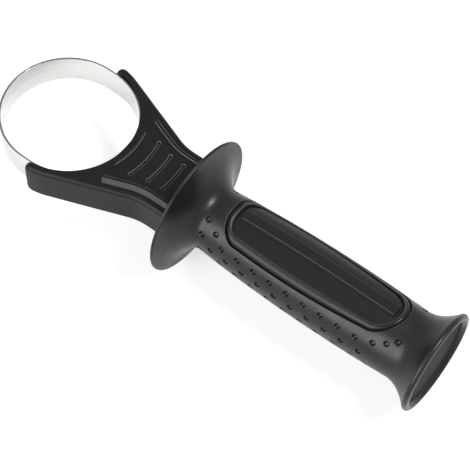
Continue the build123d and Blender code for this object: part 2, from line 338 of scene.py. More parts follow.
def smooth(mesh: bpy.types.Mesh, sharp_degrees: float) -> None:
    """Shades a mesh smooth and keeps its sharp edges.

    Args:
        mesh: Mesh to shade.
        sharp_degrees: Edges that turn more than this stay sharp.
    """
    mesh.polygons.foreach_set("use_smooth", [True] * len(mesh.polygons))
    mesh.set_sharp_from_angle(angle=math.radians(sharp_degrees))
    mesh.update()


def bridge_openings(mesh: bpy.types.Mesh, split_x: float) -> None:
    """Joins the two open rims on each side of a plane, so that the shell is closed.

    Args:
        mesh: Mesh to close.
        split_x: Place of the plane in metres.
    """
    work = bmesh.new()
    work.from_mesh(mesh)
    for side in (-1, 1):
        rims = [e for e in work.edges if e.is_boundary and side * (e.verts[0].co.x - split_x) > 0]
        bmesh.ops.bridge_loops(work, edges=rims)
    bmesh.ops.recalc_face_normals(work, faces=work.faces)
    work.to_mesh(mesh)
    work.free()


@dataclass
class Yoke:
    """Moulded yoke: the CAD solid with the drafts and soft edges that the mould gives it.

    Args:
        rim_z: Height of the outer step.
        panel_z: Height of the sunk panel's floor.
        flank_draft: How far the foot of the pad's flanks leans out.
        edge_round: Rounding of the outer edges.
        mouth_round: Rounding of the panel's and the slots' upper edges.
        painted_highlight_pad: How strongly a highlight is painted on the pad's flanks, from 0 to 1.
        painted_highlight_mouths: How strongly one is painted on the panel's and the slots' upper edges.
        painted_highlight_edges: How strongly one is painted on the other sharp edges.
        least_turn: Edges that turn less than this, in degrees, stay as they are.
        most_turn: Folds of thin wedges, which turn more than this, stay too.
    """

    rim_z: float = 8.0
    pad_z: float = 10.0
    panel_z: float = 9.4
    flank_draft: float = 0.8
    edge_round: float = 0.16
    mouth_round: float = 0.22
    painted_highlight_pad: float = 0.16
    painted_highlight_mouths: float = 0.35
    painted_highlight_edges: float = 0.15
    least_turn: float = 38.0
    most_turn: float = 120.0

    def is_sharp(self, edge: bmesh.types.BMEdge) -> bool:
        """Tells whether an edge is to be rounded.

        Args:
            edge: Edge of the yoke.

        Returns:
            True if it turns sharply, but isn't the fold of a thin wedge.
        """
        turn = math.degrees(edge.calc_face_angle(0.0))
        return len(edge.link_faces) == 2 and self.least_turn < turn < self.most_turn

    def lean_flanks(self, work: bmesh.types.BMesh) -> None:
        """Moves the foot of the pad's two long flanks outwards.

        Args:
            work: Mesh of the yoke.
        """
        moves = {}
        for vertex in work.verts:
            rises = any(abs(e.other_vert(vertex).co.z) > (self.rim_z + 0.3) * MM for e in vertex.link_edges)
            flanks = [f.normal for f in vertex.link_faces if abs(f.normal.z) < 0.2 and abs(f.normal.y) > 0.5]
            if rises and flanks and abs(abs(vertex.co.z) - self.rim_z * MM) < TOUCH:
                moves[vertex] = sum(flanks, Vector()).normalized() * self.flank_draft * MM
        for vertex, move in moves.items():
            vertex.co += move
        LOG.info("yoke: %d points of the pad's foot moved", len(moves))

    def mouth_edges(self, work: bmesh.types.BMesh) -> list:
        """Finds the upper edges of the panel and of its slots.

        Args:
            work: Mesh of the yoke.

        Returns:
            The edges.
        """
        levels = (self.panel_z * MM, self.pad_z * MM)
        found = []
        for edge in work.edges:
            gaps = [min(abs(abs(v.co.z) - level) for level in levels) for v in edge.verts]
            if self.is_sharp(edge) and edge.is_convex and max(gaps) < TOUCH:
                found.append(edge)
        return found

    def build(self, material: bpy.types.Material) -> bpy.types.Object:
        """Builds the yoke.

        Args:
            material: Its finish.

        Returns:
            The yoke's object.
        """
        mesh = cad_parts["yoke"].data.copy()
        mesh.name = "yoke_moulded"
        mesh.materials.clear()
        mesh.materials.append(material)
        mesh.attributes.remove(mesh.attributes["custom_normal"])
        work = bmesh.new()
        work.from_mesh(mesh)
        bmesh.ops.remove_doubles(work, verts=work.verts, dist=2 * WELD)
        bmesh.ops.dissolve_limit(work, angle_limit=math.radians(0.05), verts=work.verts, edges=work.edges)
        work.normal_update()
        self.lean_flanks(work)
        work.normal_update()
        # Face layer for the painted highlight; the pad's sloping flanks get one.
        layer = work.faces.layers.float.new("painted_highlight")
        for face in work.faces:
            middle, tilt = abs(face.calc_center_median().z), abs(face.normal.z)
            if self.rim_z * MM < middle < self.pad_z * MM and 0.2 < tilt < 0.95:
                face[layer] = self.painted_highlight_pad
        # The rounded upper edges of the panel and slots, and then the other rounded edges, get a painted
        # highlight.
        soften(work, self.mouth_edges(work), self.mouth_round, self.painted_highlight_mouths, False)
        work.normal_update()
        layer = work.faces.layers.float["painted_highlight"]
        rounded = (self.painted_highlight_pad + self.painted_highlight_mouths) / 2
        sharp = [edge for edge in work.edges if self.is_sharp(edge)
                 and max(face[layer] for face in edge.link_faces) < rounded]
        soften(work, sharp, self.edge_round, self.painted_highlight_edges, True)
        bmesh.ops.triangulate(work, faces=[f for f in work.faces if len(f.verts) > 4])
        work.to_mesh(mesh)
        work.free()
        smooth(mesh, 50.0)
        piece = add_object("yoke_moulded", mesh)
        modifier = piece.modifiers.new("flat_faces_stay_flat", "WEIGHTED_NORMAL")
        modifier.keep_sharp = True
        finish_modifiers(piece)
        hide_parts("yoke")
        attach(piece, "yoke_body")
        return piece


def soften(work: bmesh.types.BMesh, edges: list, width_mm: float, painted_highlight: float, clamp: bool) -> None:
    """Rounds edges of a mesh and marks the rounding for a painted highlight.

    Args:
        work: Mesh to change, with the face layer that holds the painted highlight.
        edges: Edges to round.
        width_mm: Width of the rounding.
        painted_highlight: How strongly a highlight is painted on the rounding, from 0 to 1.
        clamp: Whether narrow faces beside the edges limit the width.
    """
    made = bmesh.ops.bevel(work, geom=edges, offset=width_mm * MM, offset_type="OFFSET", segments=2,
                           profile=0.5, affect="EDGES", clamp_overlap=clamp)
    LOG.info("%d edges rounded by %.2f mm", len(edges), width_mm)
    # The new rounding faces get the painted highlight.
    layer = work.faces.layers.float["painted_highlight"]
    for face in made["faces"]:
        face[layer] = painted_highlight


def finish_modifiers(piece: bpy.types.Object) -> None:
    """Puts the result of a piece's modifiers into its mesh and removes them.

    Args:
        piece: Piece with modifiers.
    """
    evaluated = piece.evaluated_get(bpy.context.evaluated_depsgraph_get())
    mesh = bpy.data.meshes.new_from_object(evaluated)
    piece.modifiers.clear()
    piece.data = mesh


def spline_points(knots: list, first: tuple, last: tuple, steps: int) -> np.ndarray:
    """Points of a smooth curve through knots with set end directions.

    Args:
        knots: Points (x, r) that the curve passes.
        first: Direction at the first knot.
        last: Direction at the last knot.
        steps: Points between two knots.

    Returns:
        Points along the curve.
    """
    p = np.array(knots, float)
    h = np.linalg.norm(np.diff(p, axis=0), axis=1)
    system, sides = np.eye(len(p)), np.zeros_like(p)
    sides[0], sides[-1] = (np.array(v) / np.linalg.norm(v) for v in (first, last))
    for i in range(1, len(p) - 1):
        a, b = 1 / h[i - 1], 1 / h[i]
        system[i, i - 1 : i + 2] = a, 2 * (a + b), b
        sides[i] = 3 * ((p[i] - p[i - 1]) * a * a + (p[i + 1] - p[i]) * b * b)
    slopes = np.linalg.solve(system, sides)
    out = []
    for i in range(len(p) - 1):
        for t in np.linspace(0, 1, steps, endpoint=i == len(p) - 2):
            a, b = 2 * t**3 - 3 * t**2 + 1, t**3 - 2 * t**2 + t
            c, d = -2 * t**3 + 3 * t**2, t**3 - t**2
            out.append(a * p[i] + b * h[i] * slopes[i] + c * p[i + 1] + d * h[i] * slopes[i + 1])
    return np.array(out)


def arc_points(centre: tuple, radius: float, start: float, end: float, steps: int) -> np.ndarray:
    """Points on an arc.

    Args:
        centre: Centre of the arc.
        radius: Its radius.
        start: First angle in degrees.
        end: Last angle in degrees.
        steps: How many points.

    Returns:
        The points, both ends included.
    """
    angles = np.radians(np.linspace(start, end, steps))
    return np.c_[centre[0] + radius * np.cos(angles), centre[1] + radius * np.sin(angles)]


def resample(points: np.ndarray, count: int) -> np.ndarray:
    """Spreads points evenly along a polyline.

    Args:
        points: Polyline.
        count: How many points to return, both ends included.

    Returns:
        Evenly spaced points.
    """
    run = np.r_[0, np.cumsum(np.linalg.norm(np.diff(points, axis=0), axis=1))]
    at = np.linspace(0, run[-1], count)
    return np.c_[np.interp(at, run, points[:, 0]), np.interp(at, run, points[:, 1])]


@dataclass
class GripForm:
    """Sizes of the grip in millimetres, as the solids have them.

    The waist, the belly and the ankle are each given by place and radius.

    Args:
        front_x: Front face of the flange.
        flange_edge: Thickness of the flange's rim.
        flange_curve: How far the middle of the flange's back lies behind its edge and swells.
        foot_lip: Radius of the foot's rounded lip.
        foot_slope: Slope at which the foot's back meets the lip.
        dish_slope: How far the wall of the foot's dish leans in.
        turn: Turn of the panels about the axis, in degrees.
        panel_corner: Radius of a panel's two corners, on the side of the flange.
        panel_lead: Straight length beside a corner.
        panel_start_half: Half width of a panel at its corners.
        quarter: Vertices along a quarter of a ring.
        side: Vertices along a long side of a panel.
    """

    front_x: float = 60.5
    flange_radius: float = 27.39
    flange_edge: float = 1.3
    flange_curve: tuple = (1.5, 0.3)
    waist: tuple = (71.3, 12.5)
    belly: tuple = (118.2, 14.5)
    ankle: tuple = (153.4, 13.7)
    foot_radius: float = 19.9
    foot_end_x: float = 166.6
    foot_lip: float = 1.3
    foot_slope: float = 1.15
    dish_depth: float = 2.0
    dish_slope: float = 1.2
    core_radius: float = 9.8
    core_end_x: float = 157.4
    turn: float = -8.0
    panel_start_x: float = 76.7
    panel_end_x: float = 150.7
    panel_end_radius: float = 10.7
    panel_corner: float = 8.5
    panel_lead: float = 0.5
    panel_start_half: float = 11.3
    panel_belly_half: float = 12.0
    quarter: int = 36
    side: int = 110

    def bend(self, end: tuple) -> float:
        """Radius of the barrel's arc from the belly to one of its ends.

        Args:
            end: The waist or the ankle.

        Returns:
            The radius.
        """
        drop = self.belly[1] - end[1]
        return ((end[0] - self.belly[0]) ** 2 + drop**2) / (2 * drop)

    def radius(self, x: np.ndarray) -> np.ndarray:
        """Radius of the barrel.

        Args:
            x: Places along the grip.

        Returns:
            Radius at each place.
        """
        x = np.asarray(x, float)
        out = np.empty_like(x)
        for end, part in ((self.waist, x < self.belly[0]), (self.ankle, x >= self.belly[0])):
            bend = self.bend(end)
            out[part] = self.belly[1] - bend + np.sqrt(bend**2 - (x[part] - self.belly[0]) ** 2)
        return out

    def slope(self, end: tuple) -> float:
        """Slope of the barrel at one of its ends.

        Args:
            end: The waist or the ankle.

        Returns:
            Change of radius along x.
        """
        run = self.belly[0] - end[0]
        return run / math.sqrt(self.bend(end) ** 2 - run**2)

    def panel_loop(self) -> tuple[np.ndarray, np.ndarray]:
        """Outline of a panel, from its foot end round over +Y.

        Returns:
            Points (x, y) of the closed loop and their outward normals.
        """
        end_x = self.panel_end_x - self.panel_end_radius
        corner_x = self.panel_start_x + self.panel_corner
        corner_y = self.panel_start_half - self.panel_corner
        ends = ((end_x, self.panel_end_radius), (corner_x + self.panel_lead, self.panel_start_half))
        top = (self.belly[0], self.panel_belly_half)
        square = np.array([[2 * p[0], 2 * p[1], 1] for p in (ends[0], top, ends[1])])
        cx, cy, k = np.linalg.solve(square, [p[0] ** 2 + p[1] ** 2 for p in (ends[0], top, ends[1])])
        bow = math.sqrt(k + cx * cx + cy * cy)
        first, last = [math.degrees(math.atan2(p[1] - cy, p[0] - cx)) for p in ends]
        foot = arc_points((end_x, 0), self.panel_end_radius, 0, 90, 91)
        corner = arc_points((corner_x, corner_y), self.panel_corner, 90, 180, 91)
        long_side = arc_points((cx, cy), bow, first, last, 120)
        parts = [
            resample(foot[:46], self.quarter + 1)[:-1],
            resample(np.r_[foot[45:], long_side[1:], corner[:46]], self.side + 1)[:-1],
            resample(np.r_[corner[45:], [[self.panel_start_x, 0]]], self.quarter + 1),
        ]
        loop = self.mirror_loop(np.concatenate(parts))
        along = np.roll(loop, -1, axis=0) - np.roll(loop, 1, axis=0)
        along /= np.linalg.norm(along, axis=1)[:, None]
        return loop, np.c_[along[:, 1], -along[:, 0]]

    def mirror_loop(self, upper: np.ndarray) -> np.ndarray:
        """Closes a half loop by its mirror image.

        Args:
            upper: Points from the foot end over +Y to the start.

        Returns:
            The closed loop.
        """
        return np.r_[upper, upper[-2:0:-1] * [1, -1]]

    def square_loop(self, low: float, high: float, half: float) -> np.ndarray:
        """Square-cornered loop with as many points as a panel's outline.

        Args:
            low: Its start along the grip.
            high: Its end along the grip.
            half: Half of its width, or of the angle that it spans.

        Returns:
            Points of the closed loop.
        """
        q, s = self.quarter, self.side
        up = np.linspace(0, half, q + 1)
        return self.mirror_loop(np.r_[
            np.c_[np.full(q, high), up[:-1]],
            np.c_[np.linspace(high, low, s + 1)[:-1], np.full(s, half)],
            np.c_[np.full(q + 1, low), up[::-1]],
        ])

    def revolved(self, profile: np.ndarray, count: int, turn: float) -> list:
        """Turns a profile about the grip's axis.

        Args:
            profile: Points (x, r).
            count: Vertices of a ring.
            turn: Turn of the first vertex in degrees.

        Returns:
            Rings of points in metres.
        """
        angles = np.radians(np.arange(count) * 360 / count)
        return [self.turned(np.full(count, x), r * np.sin(angles), r * np.cos(angles), turn)
                for x, r in profile]

    def turned(self, x: np.ndarray, y: np.ndarray, z: np.ndarray, turn: float) -> np.ndarray:
        """Turns points about the grip's axis.

        Args:
            x: First coordinates in millimetres.
            y: Second coordinates.
            z: Third coordinates.
            turn: Turn in degrees.

        Returns:
            Points in metres.
        """
        c, s = math.cos(math.radians(turn)), math.sin(math.radians(turn))
        return np.c_[x, y * c - z * s, y * s + z * c] * MM

    def on_surface(self, loop: np.ndarray, depth: np.ndarray | float, turn: float) -> np.ndarray:
        """Lays a planar loop on the barrel at a depth below its surface.

        Args:
            loop: Points (x, y) in the panel's plane.
            depth: Depth below the barrel's surface.
            turn: Turn of the panel in degrees.

        Returns:
            Points in metres.
        """
        rho = self.radius(loop[:, 0]) - depth
        height = np.sqrt(np.maximum(rho**2 - loop[:, 1] ** 2, 0.0))
        return self.turned(loop[:, 0], loop[:, 1], height, turn)


@dataclass
class Sleeve:
    """Soft sleeve with flange, windows, dimples and foot.

    Args:
        skin_from: Place where the flange's revolved form begins.
        skin_to: Place where the foot's revolved form begins.
        dimple_pitch: Distance of dimples in a row.
        dimple_radius: Radius of a dimple at the surface.
        painted_highlight_window: How strongly a highlight is painted on the windows' rounded edges, from 0 to
            1.
        painted_highlight_lip: How strongly one is painted on the foot's lip.
        window_rings: Rings of the skin on the windows' rounded edges.
        lip_rings: Rings of the foot's profile on its lip.
        middle_row: Start and number of the dimples in the row between the panels.
        side_row: Start, number, angle and bow of the row along a panel's side.
        end_dimples: Places and angles of the single dimples beside a panel's ends.
    """

    form: GripForm
    edge_round: float = 0.35
    skin_from: float = 72.2
    skin_to: float = 152.6
    dimple_pitch: float = 7.25
    dimple_radius: float = 1.2
    dimple_depth: float = 0.95
    painted_highlight_window: float = 0.12
    painted_highlight_lip: float = 0.08
    window_rings: range = range(3, 7)
    lip_rings: range = range(38, 44)
    middle_row: tuple = (76.7, 10)
    side_row: tuple = (81.0, 9, 72.5, 4.5)
    end_dimples: tuple = ((71.6, 42.0), (76.7, 56.0), (71.6, 71.0),
                          (145.5, 61.0), (149.9, 51.0), (153.1, 40.5))

    def flange_profile(self) -> np.ndarray:
        """Profile (x, r) from the skin over the flange's rim to the core.

        Returns:
            Points of the profile.
        """
        f = self.form
        half = f.flange_edge / 2
        back = spline_points(
            [(f.front_x + f.flange_edge, f.flange_radius - half),
             (f.front_x + f.flange_edge + f.flange_curve[0],
              (f.flange_radius + f.waist[1]) / 2 + f.flange_curve[1]), f.waist],
            (0.1, -1), (1, f.slope(f.waist)), 22)[::-1]
        rim = arc_points((f.front_x + half, f.flange_radius - half), half, 0, 180, 11)
        face = np.array([(f.front_x, 20.0), (f.front_x, 14.0), (f.front_x, f.core_radius)])
        start_x = np.linspace(self.skin_from, f.waist[0], 4)[:-1]
        return np.r_[np.c_[start_x, f.radius(start_x)], back, rim[1:], face]

    def foot_profile(self) -> np.ndarray:
        """Profile (x, r) from the skin over the foot's lip to the middle of its dish.

        Returns:
            Points of the profile.
        """
        f = self.form
        centre = (f.foot_end_x - f.foot_lip, f.foot_radius - f.foot_lip)
        lip = arc_points(centre, f.foot_lip, 135, -45, 15)
        flare = spline_points([f.ankle, tuple(lip[0])], (1, f.slope(f.ankle)), (1, f.foot_slope), 30)
        start_x = np.linspace(self.skin_to, f.ankle[0], 3)[:-1]
        floor_x = f.foot_end_x - f.dish_depth
        wall_r = lip[-1][1] - f.dish_slope
        corner = arc_points((floor_x + 0.8, wall_r - 0.25), 0.8, 125, 180, 5)
        floor = np.array([(floor_x, r) for r in (wall_r - 1.2, 12.0, 8.0, 4.0, 0.0)])
        return np.r_[np.c_[start_x, f.radius(start_x)], flare, lip[1:], corner, floor]

    def skin(self, turn: float) -> list:
        """Makes half of the barrel, with the window and its rounded edge.

        Args:
            turn: Turn of the window in degrees.

        Returns:
            Rings from the window's hidden wall to the edge of the half.
        """
        f = self.form
        loop, normals = f.panel_loop()
        wall = f.radius(loop[:, 0]) - f.core_radius - HIDDEN_GAP_MM
        rings = []
        for depth in (f.belly[1], 1.2, 0.8):
            rings.append(f.on_surface(loop, np.minimum(depth, wall), turn))
        for angle in np.radians(np.linspace(0, 90, 6)):
            out = self.edge_round * (1 - math.cos(angle))
            rings.append(f.on_surface(loop + out * normals, self.edge_round * (1 - math.sin(angle)), turn))
        edge = loop + self.edge_round * normals
        edge_angle = np.arcsin(edge[:, 1] / f.radius(edge[:, 0]))
        target = f.square_loop(self.skin_from, self.skin_to, math.pi / 2)
        for t in np.linspace(0, 1, 15)[1:]:
            x = (1 - t) * edge[:, 0] + t * target[:, 0]
            angle = (1 - t) * edge_angle + t * target[:, 1]
            rho = f.radius(x)
            rings.append(f.turned(x, rho * np.sin(angle), rho * np.cos(angle), turn))
        return rings

    def dimple_places(self) -> list[tuple[float, float]]:
        """Places of all dimples: distance along the grip and angle about its axis.

        Returns:
            Pairs of millimetres and degrees.
        """
        first, number = self.middle_row
        start, count, wide, bow = self.side_row
        places = []
        for turn in (self.form.turn, self.form.turn + 180):
            places += [(first + k * self.dimple_pitch, turn + 90) for k in range(number)]
            for side in (-1, 1):
                for k in range(count):
                    angle = wide - bow * (k / (count - 1)) ** 2
                    places.append((start + k * self.dimple_pitch, turn + side * angle))
                places += [(x, turn + side * angle) for x, angle in self.end_dimples]
        return places

    def pit_tool(self) -> bpy.types.Object:
        """Makes the bowl with a flared rim that sinks one dimple.

        Returns:
            A closed mesh whose Z axis points out of the grip.
        """
        r, d = self.dimple_radius, self.dimple_depth
        profile = [(0.0, -1.02 * d), (0.30 * r, -d), (0.52 * r, -0.96 * d), (0.67 * r, -0.78 * d),
                   (0.80 * r, -0.45 * d), (0.92 * r, -0.12 * d), (1.02 * r, 0.05), (1.25 * r, 0.25),
                   (1.25 * r, 0.6), (0.0, 0.6)]
        count = 28
        angles = np.arange(count) * 2 * math.pi / count
        shell = Shell()
        shell.add([np.c_[p * np.cos(angles), p * np.sin(angles), np.full(count, h)] * MM
                   for p, h in profile])
        return bpy.data.objects.new("pit_tool", shell.mesh("pit_tool"))

    def pit_centres(self) -> bpy.types.Object:
        """Makes a mesh of loose points, one for each dimple, with the way out of the grip.

        Returns:
            The mesh object.
        """
        places = np.array(self.dimple_places())
        rho = self.form.radius(places[:, 0])
        angle = np.radians(places[:, 1])
        out = np.c_[np.zeros(len(rho)), -np.sin(angle), np.cos(angle)]
        points = np.c_[places[:, 0], out[:, 1] * rho, out[:, 2] * rho] * MM
        mesh = bpy.data.meshes.new("pit_centres")
        mesh.from_pydata([tuple(p) for p in points], [], [])
        outward = mesh.attributes.new("outward", "FLOAT_VECTOR", "POINT")
        outward.data.foreach_set("vector", out.ravel())
        return bpy.data.objects.new("pit_centres", mesh)

    def pit_tree(self) -> bpy.types.NodeTree:
        """Makes the Geometry Nodes group that sinks the dimples.

        Returns:
            A group with the inputs Geometry, Centres, Tool, Size and Finish.
        """
        tree = bpy.data.node_groups.new("sink_dimples", "GeometryNodeTree")
        for name, kind in (("Geometry", "NodeSocketGeometry"), ("Centres", "NodeSocketObject"),
                           ("Tool", "NodeSocketObject"), ("Size", "NodeSocketFloat"),
                           ("Finish", "NodeSocketMaterial")):
            tree.interface.new_socket(name, in_out="INPUT", socket_type=kind)
        tree.interface.new_socket("Geometry", in_out="OUTPUT", socket_type="NodeSocketGeometry")
        source = add_node(tree, "NodeGroupInput").outputs
        centres = add_node(tree, "GeometryNodeObjectInfo", {"Object": source["Centres"]})
        tool = add_node(tree, "GeometryNodeObjectInfo", {"Object": source["Tool"]})
        outward = add_node(tree, "GeometryNodeInputNamedAttribute", {"Name": "outward"},
                           data_type="FLOAT_VECTOR").outputs[0]
        aim = add_node(tree, "FunctionNodeAlignRotationToVector", {"Vector": outward}, axis="Z")
        copies = add_node(tree, "GeometryNodeInstanceOnPoints", {
            "Points": centres.outputs["Geometry"], "Instance": tool.outputs["Geometry"],
            "Rotation": aim.outputs[0], "Scale": source["Size"]})
        real = add_node(tree, "GeometryNodeRealizeInstances", {"Geometry": copies.outputs[0]})
        cut = add_node(tree, "GeometryNodeMeshBoolean", {
            "Mesh 1": source["Geometry"], "Mesh 2": real.outputs[0]}, operation="DIFFERENCE", solver="EXACT")
        finish = add_node(tree, "GeometryNodeSetMaterial", {
            "Geometry": cut.outputs[0], "Material": source["Finish"]})
        add_node(tree, "NodeGroupOutput", {"Geometry": finish.outputs[0]})
        return tree

    def build(self, material: bpy.types.Material) -> bpy.types.Object:
        """Builds the sleeve.

        Args:
            material: Its finish.

        Returns:
            The sleeve's object.
        """
        f = self.form
        shell = Shell()
        # Painted highlights on the windows' rounded edges and on the foot's lip.
        window = dict.fromkeys(self.window_rings, self.painted_highlight_window)
        lip = dict.fromkeys(self.lip_rings, self.painted_highlight_lip)
        for turn in (f.turn, f.turn + 180):
            shell.add(self.skin(turn), window)
        back = [(f.core_end_x, f.core_radius), (f.core_end_x, 5.0), (f.core_end_x, 0.0)]
        for profile, marks in ((self.flange_profile(), {}), (self.foot_profile(), lip), (back, {})):
            shell.add(f.revolved(profile, 4 * f.quarter, f.turn), marks)
        piece = shell.piece("grip_sleeve_skin", material, 40.0)
        bridge_openings(piece.data, f.belly[0] * MM)
        centres, tool, tree = self.pit_centres(), self.pit_tool(), self.pit_tree()
        inputs = {item.name: item.identifier for item in tree.interface.items_tree if item.in_out == "INPUT"}
        modifier = piece.modifiers.new("dimples", "NODES")
        modifier.node_group = tree
        modifier[inputs["Centres"]] = centres
        modifier[inputs["Tool"]] = tool
        modifier[inputs["Size"]] = 1.0
        modifier[inputs["Finish"]] = material
        finish_modifiers(piece)
        smooth(piece.data, 38.0)
        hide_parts("grip_sleeve")
        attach(piece, "grip_body")
        return piece


@dataclass
class Core:
    """Hard core whose two panels show through the sleeve.

    Args:
        bead_width: Width of the bead between the groove and the inner groove.
        floor_drop: Depth of the floor beside the rib.
        floor_flatness: How far the floor's centre lies past the axis.
        rib_drop: How far the rib stays below the surface.
        rib_margin: Distance of the rib's ends from the panel's.
        painted_highlight_bead: How strongly a highlight is painted on the bead's inner edge, in two steps,
            from 0 to 1.
        painted_highlight_rib: How strongly one is painted on the rib's edge.
    """

    form: GripForm
    groove_width: float = 0.6
    groove_depth: float = 0.9
    bead_width: float = 1.7
    inner_width: float = 0.5
    inner_depth: float = 0.45
    floor_drop: float = 1.5
    floor_flatness: float = 4.0
    rib_half: float = 2.3
    rib_drop: float = 0.15
    rib_margin: float = 4.2
    painted_highlight_bead: tuple = (0.10, 0.18)
    painted_highlight_rib: float = 0.04
    bore_end_x: float = 94.65
    bore_radius: float = 4.3

    def floor_height(self, x: np.ndarray, y: np.ndarray) -> np.ndarray:
        """Height of the panel's floor over the axis.

        Args:
            x: Places along the grip.
            y: Places across the panel.

        Returns:
            Heights in millimetres.
        """
        rho = self.form.radius(x) + self.floor_flatness - self.floor_drop
        return np.sqrt(rho**2 - y**2) - self.floor_flatness

    def rib_loop(self, half: float, margin: float) -> np.ndarray:
        """Outline of the rib with as many points as the panel's loop.

        Args:
            half: Half width.
            margin: Distance of its ends from the panel's.

        Returns:
            Points (x, y).
        """
        return self.form.square_loop(self.form.panel_start_x + margin, self.form.panel_end_x - margin, half)

    def panel(self, turn: float) -> tuple[list, dict]:
        """Makes one panel: groove, bead, inner groove, floor and rib.

        Args:
            turn: Turn of the panel in degrees.

        Returns:
            Its rings and the highlight painted on its edges.
        """
        f = self.form
        loop, normals = f.panel_loop()
        outer = -self.groove_width
        inner = outer - self.bead_width
        edge = inner - self.inner_width
        section = [(0.05, 4.0), (0.05, self.groove_depth), (-0.25, self.groove_depth + 0.05),
                   (outer, self.groove_depth), (outer - 0.06, 0.42), (outer - 0.20, 0.20),
                   (outer - 0.45, 0.05), (outer - 0.80, 0.0), (inner + 0.55, 0.04), (inner + 0.25, 0.16),
                   (inner + 0.06, self.inner_depth), (inner - 0.2, self.inner_depth + 0.08),
                   (edge + 0.1, self.inner_depth + 0.05)]
        middle = self.rib_loop(0.0, self.rib_margin + 1.2)
        rings = [f.on_surface(middle, 4.0, turn)]
        rings += [f.on_surface(loop + out * normals, depth, turn) for out, depth in section]
        rim = loop + edge * normals
        foot = self.rib_loop(self.rib_half + 0.12, self.rib_margin - 0.12)
        for t in np.linspace(0, 1, 12):
            flat = (1 - t) * rim + t * foot
            rings.append(f.turned(flat[:, 0], flat[:, 1], self.floor_height(flat[:, 0], flat[:, 1]), turn))
        top = self.rib_drop
        for inset, depth in ((0.0, 0.95), (0.02, 0.45), (0.10, 0.24), (0.28, top), (0.6, top)):
            flat = self.rib_loop(self.rib_half - inset, self.rib_margin + inset)
            rings.append(f.on_surface(flat, depth, turn))
        rings.append(f.on_surface(middle, top, turn))
        # Painted highlights on the bead's inner edge and on the rib's edge.
        bead_edge, rib_edge = len(section) - 3, len(rings) - 4
        before, after = self.painted_highlight_bead
        return rings, {bead_edge - 1: before, bead_edge: after, rib_edge: self.painted_highlight_rib}

    def body(self) -> list:
        """Makes the hidden tube of the core with its bore.

        Returns:
            Its rings.
        """
        f = self.form
        outside = f.core_radius - HIDDEN_GAP_MM
        profile = [(self.bore_end_x, 0.0), (self.bore_end_x, self.bore_radius),
                   (f.front_x, self.bore_radius), (f.front_x, outside), (f.core_end_x - 3.0, outside),
                   (f.core_end_x - 0.9, f.core_radius - 1.0), (f.core_end_x, f.core_radius - 3.0),
                   (f.core_end_x, 0.0)]
        return f.revolved(profile, 96, 0.0)

    def build(self, material: bpy.types.Material) -> bpy.types.Object:
        """Builds the core.

        Args:
            material: Its finish.

        Returns:
            The core's object.
        """
        shell = Shell()
        for turn in (self.form.turn, self.form.turn + 180):
            shell.add(*self.panel(turn))
        shell.add(self.body())
        piece = shell.piece("grip_core_panels", material, 55.0)
        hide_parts("grip_core")
        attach(piece, "grip_body")
        return piece


